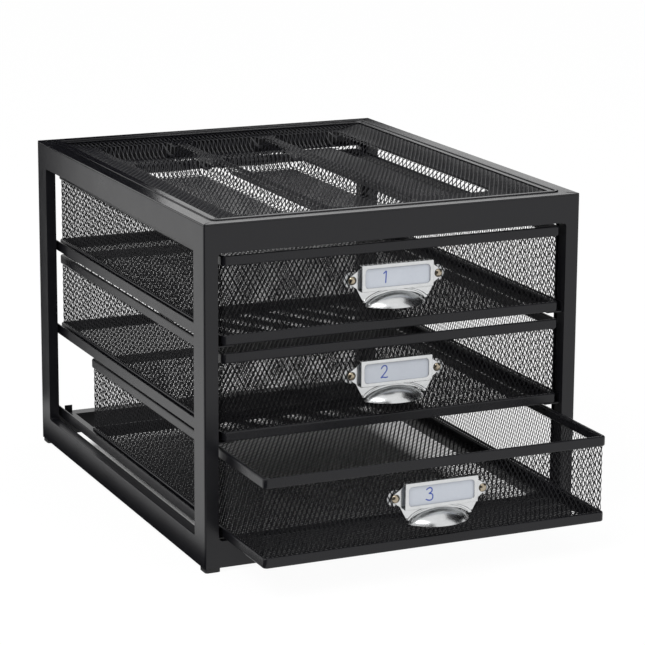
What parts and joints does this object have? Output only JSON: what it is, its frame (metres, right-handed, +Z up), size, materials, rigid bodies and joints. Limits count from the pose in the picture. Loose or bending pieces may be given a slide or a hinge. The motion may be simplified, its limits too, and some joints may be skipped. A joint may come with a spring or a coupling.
{
  "type": "drawer organizer",
  "caption": "Desktop drawer organizer of black steel: open frame, sliding mesh drawers with plated cup pulls and label cards, and a compartment tray pressed into the top.",
  "frame": {"origin": "on the surface the feet stand on, under the middle of the box round the whole object with the bottom drawer partly pulled out", "axes": "+Z up, -Y out of the front where the drawers open, +X to the right seen from the front"},
  "size_m": [0.279, 0.4248, 0.2387],
  "materials": {
    "black_coat": "satin powder coat",
    "black_mesh": "satin powder coat",
    "black_rubber": "matte",
    "plated_steel": "bright nickel plate",
    "zinc_plate": "zinc plate",
    "card": "uncoated card"
  },
  "bodies": {
    "cabinet": {"front_frame": "black_coat", "back_frame": "black_coat", "left_side_frame": "black_coat", "right_side_frame": "black_coat", "top_border": "black_coat", "top_tray": "black_mesh", "bottom_runner_left": "black_coat", "bottom_runner_right": "black_coat", "middle_runner_left": "black_coat", "middle_runner_right": "black_coat", "top_runner_left": "black_coat", "top_runner_right": "black_coat", "foot_front_left": "black_rubber", "foot_front_right": "black_rubber", "foot_back_left": "black_rubber", "foot_back_right": "black_rubber"},
    "bottom_drawer": {"bottom_drawer_rim": "black_coat", "bottom_drawer_base_band": "black_coat", "bottom_drawer_front_mesh": "black_mesh", "bottom_drawer_back_mesh": "black_mesh", "bottom_drawer_left_mesh": "black_mesh", "bottom_drawer_right_mesh": "black_mesh", "bottom_drawer_floor_mesh": "black_mesh", "bottom_drawer_pull": "plated_steel", "bottom_drawer_pull_screws": "plated_steel", "bottom_drawer_pull_washers": "zinc_plate", "bottom_drawer_pull_nuts": "zinc_plate"},
    "bottom_card": {"bottom_drawer_label_card": "card"},
    "middle_drawer": {"middle_drawer_rim": "black_coat", "middle_drawer_base_band": "black_coat", "middle_drawer_front_mesh": "black_mesh", "middle_drawer_back_mesh": "black_mesh", "middle_drawer_left_mesh": "black_mesh", "middle_drawer_right_mesh": "black_mesh", "middle_drawer_floor_mesh": "black_mesh", "middle_drawer_pull": "plated_steel", "middle_drawer_pull_screws": "plated_steel", "middle_drawer_pull_washers": "zinc_plate", "middle_drawer_pull_nuts": "zinc_plate"},
    "middle_card": {"middle_drawer_label_card": "card"},
    "top_drawer": {"top_drawer_rim": "black_coat", "top_drawer_base_band": "black_coat", "top_drawer_front_mesh": "black_mesh", "top_drawer_back_mesh": "black_mesh", "top_drawer_left_mesh": "black_mesh", "top_drawer_right_mesh": "black_mesh", "top_drawer_floor_mesh": "black_mesh", "top_drawer_pull": "plated_steel", "top_drawer_pull_screws": "plated_steel", "top_drawer_pull_washers": "zinc_plate", "top_drawer_pull_nuts": "zinc_plate"},
    "top_card": {"top_drawer_label_card": "card"}
  },
  "joints": [
    {"name": "bottom_drawer_slide", "type": "slide", "parent": "cabinet", "child": "bottom_drawer", "axis": [0, -1, 0], "range_m": [-0.07, 0.17]},
    {"name": "bottom_card_slide", "type": "slide", "parent": "bottom_drawer", "child": "bottom_card", "axis": [1, 0, 0], "range_m": [0, 0.054]},
    {"name": "middle_drawer_slide", "type": "slide", "parent": "cabinet", "child": "middle_drawer", "axis": [0, -1, 0], "range_m": [0, 0.24]},
    {"name": "middle_card_slide", "type": "slide", "parent": "middle_drawer", "child": "middle_card", "axis": [1, 0, 0], "range_m": [0, 0.054]},
    {"name": "top_drawer_slide", "type": "slide", "parent": "cabinet", "child": "top_drawer", "axis": [0, -1, 0], "range_m": [0, 0.24]},
    {"name": "top_card_slide", "type": "slide", "parent": "top_drawer", "child": "top_card", "axis": [1, 0, 0], "range_m": [0, 0.054]}
  ]
}
